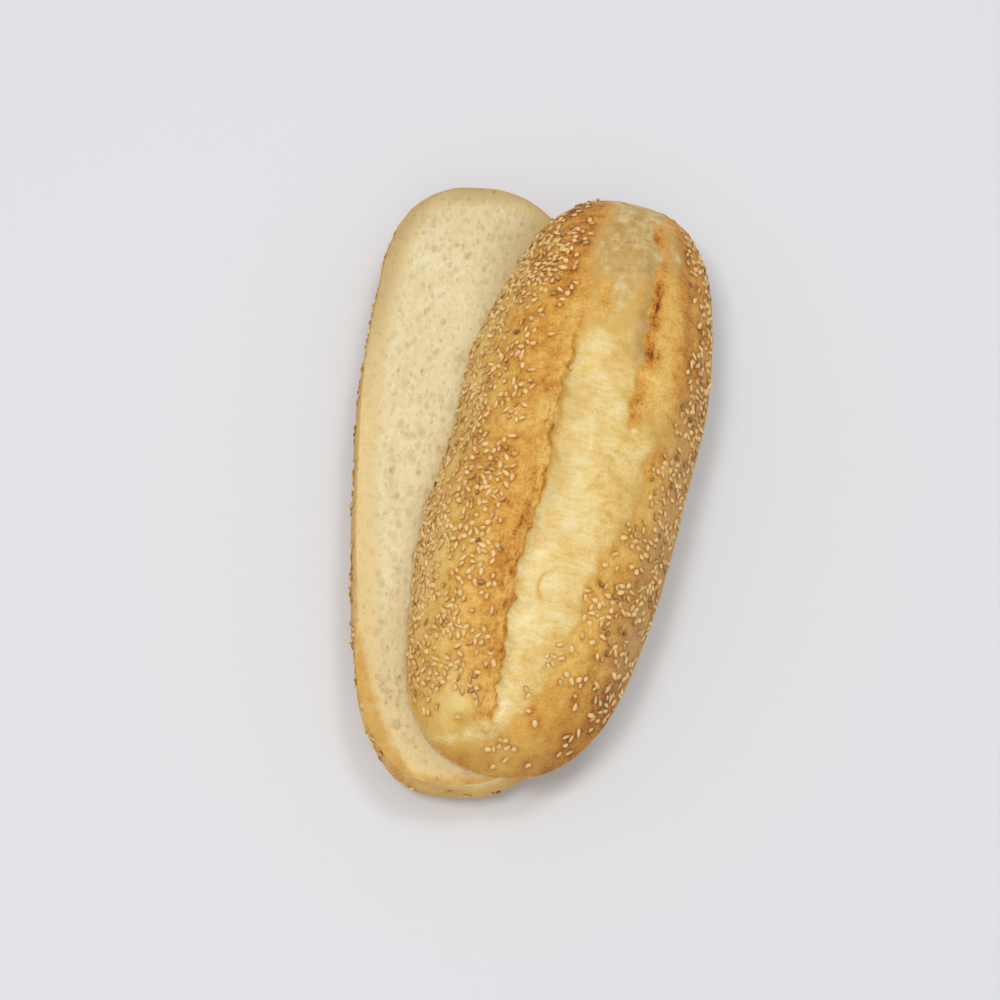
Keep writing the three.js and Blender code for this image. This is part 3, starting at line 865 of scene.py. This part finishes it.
def wallLoop(form):
    # one ring of columns round the roll for each level: up the left side, back down the right
    steps = form["wallLevels"] // 2 + 1
    foot = loaf["widest"] * np.cos(np.linspace(0, math.pi / 2, steps))
    levels = np.concatenate((np.linspace(loaf["cut"], loaf["widest"], steps), foot[1:]))
    sides = []
    for z in levels:
        s = rowShares() * levelReach(z)
        across = levelAcross(s, z) * np.array([[-1.0, 1.0]])
        sides.append(placed(form, s, across, z))
    sheet = np.stack(sides, axis=2)  # row, side, level
    loop = np.concatenate((sheet[:, 0], sheet[-2:0:-1, 1])).transpose(1, 0, 2)
    outward = normalsOf(np.concatenate((loop[:, -1:], loop, loop[:, :1]), axis=1))[:, 1:-1]
    outward[0], outward[-1] = outward[1], outward[-2]
    order = np.arange(len(levels))
    inner = ease(order, *wall["reliefFade"]) * ease(order[::-1], *wall["reliefFade"])
    height = uneven(loop, wall["relief"]) - painted(places(form, loop), wall["tuck"])
    return loop + outward * (height * inner[:, None])[..., None], outward


def creaseShare(face):
    # a short curved tear in the crumb
    along = (face[..., 1] - crease["y"]) / crease["half"]
    across = face[..., 0] - crease["x"] - crease["bend"] * along ** 2
    return hill(across, crease["width"]) * hill(along, crease["fade"])


def wallMasks(form, points):
    at = places(form, points)
    z = at["z"]
    nearEnd = ease(at["s"], -0.85, -1) * ease(at["x"], -25, 10)
    corner = ease(at["y"], -55, -85) * (1 - nearEnd) * ease(at["x"], 0, -20)
    toast = 0.5 + 0.18 * hill(z - 12, 7) * (1 - corner) - 0.1 * corner * ease(z, 8, 20)
    toast = toast - 0.32 * nearEnd + 0.25 * (z < 0.5)  # browner underneath
    burst = (0.4 * ease(z, 17, 23) + 0.45 * nearEnd) * (1 - corner)
    # the same pale tint, coming in up the side
    dust = ease(z, 9, 20) * (1 - corner) * (1 - 0.6 * nearEnd)
    bare = ("far", "farTip", "fade", "ear", "ashen", "amber", "olive", "halo")
    masks = {key: np.zeros(len(points)) for key in bare}
    return masks | {"place": points.copy(), "smooth": nearEnd, "toast": toast, "burst": burst, "dust": dust}


def bottomHalfPieces(form, topEdge):
    loop, outward = wallLoop(form)
    seeds = scatterSeeds(loop, painted(places(form, loop), wall["seeds"]), wall["draw"], outward)
    rows = loaf["rows"] + 1
    left = np.arange(rows)  # columns of each side, from the near end
    right = np.concatenate(([0], np.arange(loop.shape[1] - 1, rows - 1, -1), [rows - 1]))
    face, dip, faceMasks = cutFace(np.stack((loop[0, left], loop[0, right]), axis=1),
                                   form["crumbColumns"], wall["faceDraw"])
    tear = creaseShare(face)
    face[..., 2] -= dip + crease["depth"] * tear
    # painted shade: the crease is painted darker like the pores
    faceMasks["pore"] = np.maximum(faceMasks["pore"], tear)
    loop[0, :, 2] -= crumbFace["edgeFall"]
    shares = np.linspace(0, 1, form["baseColumns"] + 1)[None, :, None]
    base = loop[-1, left][:, None] * (1 - shares) + loop[-1, right][:, None] * shares
    points = np.concatenate([grid.reshape(-1, 3) for grid in (loop, face, base)])
    start = loop[..., 0].size
    index = np.arange(start).reshape(loop.shape[:2])
    faceIndex = sheetIndex(index[0, left], index[0, right], face.shape[1], start)
    baseIndex = sheetIndex(index[-1, left], index[-1, right], base.shape[1], start + face[..., 0].size)
    index = np.concatenate((index, index[:, :1]), axis=1)
    crustFaces = np.concatenate((trianglesOf(index), trianglesOf(baseIndex[:, ::-1])))
    masks = wallMasks(form, points) | spread(faceMasks, len(points), start, ("rim", "peach"))
    masks["halo"][:start] = nearness(loop, seeds["spots"], seedShape["halo"]).ravel()
    # painted shade: the top half keeps light off the crumb beside it, so the crumb there is painted darker
    toTable = settling(form, points)
    far = ease(points[:, 1], *contact["far"])
    shadow = nearness(toTable(points), topEdge, contact["reach"] + contact["reachFar"] * far)
    masks["shade"] = np.maximum(masks["shade"], (contact["shade"] + contact["shadeFar"] * far) * shadow)
    bread = breadPiece("bottom_bread", toTable(points), crustFaces, trianglesOf(faceIndex), masks)
    return bread, seedsPiece("bottom_seeds", seeds, toTable)


# Seeds

seedShape = {
    "length": 3.1, "width": 1.85, "thickness": 1.15, "tip": 0.3, "rings": 7, "sides": 10,
    "vary": 0.15, "varyLimit": 1.6, "lift": (-0.2, 0.22), "tilt": 14,  # mm above the crust, degrees
    "closest": 1.7, "tries": 4, "clump": 1.6, "clumpSize": 8, "clumpLimits": (0.05, 3), "clumpDraw": 5,
    "halo": 1.9,  # the crust round each seed is painted browner: partly real browning, partly painted shadow of the seed
    "toneSpread": (1.6, 4.4), "darkShare": 0.05, "darkTone": 0.75, "steep": 0.9,
}
cm2 = 100  # mm2


def seedForm():
    # a flat teardrop along x, narrower at its tip
    along = np.cos(np.linspace(0, math.pi, seedShape["rings"] + 1))[:, None]
    turn = np.linspace(0, 2 * math.pi, seedShape["sides"], endpoint=False)[None, :]
    girth = np.sqrt(np.clip(1 - along ** 2, 0, 1)) * (1 - seedShape["tip"] * along)
    parts = np.broadcast_arrays(along, girth * np.sin(turn), girth * np.cos(turn))
    points = np.stack(parts, axis=-1).reshape(-1, 3)
    index = closedIndex(seedShape["rings"] + 1, seedShape["sides"])
    faces = trianglesOf(np.concatenate((index, index[:, :1]), axis=1))
    # 1 under the seed and at its rim, 0 on top: the seed is painted darker there, partly a toasted edge and
    # partly painted shade
    edge = 1 - np.clip(points[:, 2], 0, 1)
    size = np.array([seedShape["length"], seedShape["width"], seedShape["thickness"]])
    return points * size / 2, faces, edge


def scatterSeeds(surface, density, draw, up=None):
    # spots drawn by the seeds for each cm2, in clumps, none closer than a seed's width
    up = normalsOf(surface) if up is None else up
    area = np.linalg.norm(np.cross(np.gradient(surface, axis=1), np.gradient(surface, axis=0)), axis=-1)
    count = round((area * density).sum() / cm2)
    clumps = 1 + seedShape["clump"] * lumps(surface, seedShape["clumpSize"], draw + seedShape["clumpDraw"])
    weight = (area * density * np.clip(clumps, *seedShape["clumpLimits"])).ravel()
    rng = np.random.default_rng(draw)
    tries = rng.choice(weight.size, size=count * seedShape["tries"], replace=False, p=weight / weight.sum())
    spots, kept = surface.reshape(-1, 3), []
    for number in tries:
        if not kept or np.linalg.norm(spots[kept] - spots[number], axis=1).min() > seedShape["closest"]:
            kept.append(number)
        if len(kept) == count:
            break
    return {"spots": spots[kept], "up": up.reshape(-1, 3)[kept], "rng": rng}


def nearness(surface, spots, reach):
    # 1 at the spots, falling away over that reach
    tree = KDTree(len(spots))
    for number, spot in enumerate(spots):
        tree.insert(spot, number)
    tree.balance()
    gaps = np.array([tree.find(spot)[2] for spot in surface.reshape(-1, 3)])
    return hill(gaps, reach).reshape(surface.shape[:-1])


def unit(vectors):
    return vectors / np.linalg.norm(vectors, axis=1, keepdims=True)


def seedsPiece(name, seeds, toTable):
    spots, up, rng = seeds["spots"], seeds["up"], seeds["rng"]
    form, faces, edge = seedForm()
    count = len(spots)
    helper = np.where(np.abs(up[:, 2:]) < seedShape["steep"], [[0.0, 0.0, 1.0]], [[1.0, 0.0, 0.0]])
    first = unit(np.cross(helper, up))
    second = np.cross(up, first)
    turn = rng.uniform(0, 2 * math.pi, (count, 1))
    lean = np.radians(rng.normal(0, seedShape["tilt"], (count, 2, 1)))
    length = first * np.cos(turn) + second * np.sin(turn) + up * np.sin(lean[:, 0])
    side = np.cross(up, length) + up * np.sin(lean[:, 1])
    length = unit(length)
    side = unit(side - length * np.sum(side * length, axis=1, keepdims=True))
    basis = np.stack((length, side, np.cross(length, side)), axis=1)
    limit = seedShape["varyLimit"]
    size = 1 + seedShape["vary"] * rng.normal(0, 1, (count, 1, 3)).clip(-limit, limit)
    lift = rng.uniform(*seedShape["lift"], (count, 1, 1))
    points = ((form[None] * size) @ basis + spots[:, None] + up[:, None] * lift).reshape(-1, 3)
    faces = (faces[None] + len(form) * np.arange(count)[:, None, None]).reshape(-1, 3)
    tone = rng.beta(*seedShape["toneSpread"], count)
    dark = seedShape["darkTone"] + (1 - seedShape["darkTone"]) * tone
    tone = np.where(rng.random(count) < seedShape["darkShare"], dark, tone)
    masks = {"tone": np.repeat(tone, len(form)), "edge": np.tile(edge, count), "place": points.copy()}
    return meshPiece(name, toTable(points), faces, masks, [seed], sharpAngle=180)


topBread, topSeeds, topEdge = topHalfPieces(topHalf)
bottomBread, bottomSeeds = bottomHalfPieces(bottomHalf, topEdge)
for piece, slot in ((topBread, "crust"), (bottomBread, "crumb"), (topSeeds, "seed"), (bottomSeeds, "seed")):
    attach(piece, "root")
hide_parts("top_half")
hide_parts("bottom_half")
print("roll ready")


# Stage

stage = {
    "floorSize": 40, "floorTint": tint(226, 226, 228), "floorRoughness": 0.9,
    "skyTint": (0.9, 0.94, 1.0, 1), "skyStrength": 0.54,
}


def makeFloor():
    half = stage["floorSize"] / 2
    mesh = bpy.data.meshes.new("floor")
    corners = [(-half, -half, 0), (half, -half, 0), (half, half, 0), (-half, half, 0)]
    mesh.from_pydata(corners, [], [(0, 1, 2, 3)])
    floor = added("floor", mesh)
    finish = Finish("pale_floor")
    finish.wear(Base_Color=stage["floorTint"], Roughness=stage["floorRoughness"])
    mesh.materials.append(finish.material)


def makeSky():
    world = bpy.data.worlds.new("studio")
    world.use_nodes = True
    sky = world.node_tree.nodes["Background"]
    sky.inputs["Color"].default_value = stage["skyTint"]
    sky.inputs["Strength"].default_value = stage["skyStrength"]
    bpy.context.scene.world = world


def aim(thing, target):
    thing.rotation_euler = (Vector(target) - thing.location).to_track_quat("-Z", "Y").to_euler()


lamps = {
    "key": {"place": (-0.4, -0.12, 1.5), "size": 0.45, "watts": 7.8, "tint": (1.0, 0.98, 0.94)},
    "back": {"place": (0.4, 0.42, 1.4), "size": 0.35, "watts": 4, "tint": (1.0, 0.98, 0.94)},
    "front": {"place": (0.1, -1.2, 1.3), "size": 1.2, "watts": 2.5, "tint": (1.0, 0.98, 0.95)},
}


def makeLamps():
    for name, lamp in lamps.items():
        light = bpy.data.lights.new(name, "AREA")
        light.size, light.energy, light.color = lamp["size"], lamp["watts"], lamp["tint"]
        holder = added(name, light)
        holder.location = lamp["place"]
        aim(holder, (0, 0, 0))


photoView = {"elevation": 70, "distance": 0.7053, "lens": 70, "sensor": 36,
             "target": (-0.012, -0.0125, 0.024)}


def makeCamera():
    lift = math.radians(photoView["elevation"])
    away = Vector((0, -math.cos(lift), math.sin(lift))) * photoView["distance"]
    data = bpy.data.cameras.new("camera")
    data.lens, data.sensor_width = photoView["lens"], photoView["sensor"]
    camera = added("camera", data)
    camera.location = Vector(photoView["target"]) + away
    aim(camera, photoView["target"])
    bpy.context.scene.camera = camera


makeFloor()
makeSky()
makeLamps()
makeCamera()
bpy.context.scene.view_settings.view_transform = "Standard"
print("stage ready")
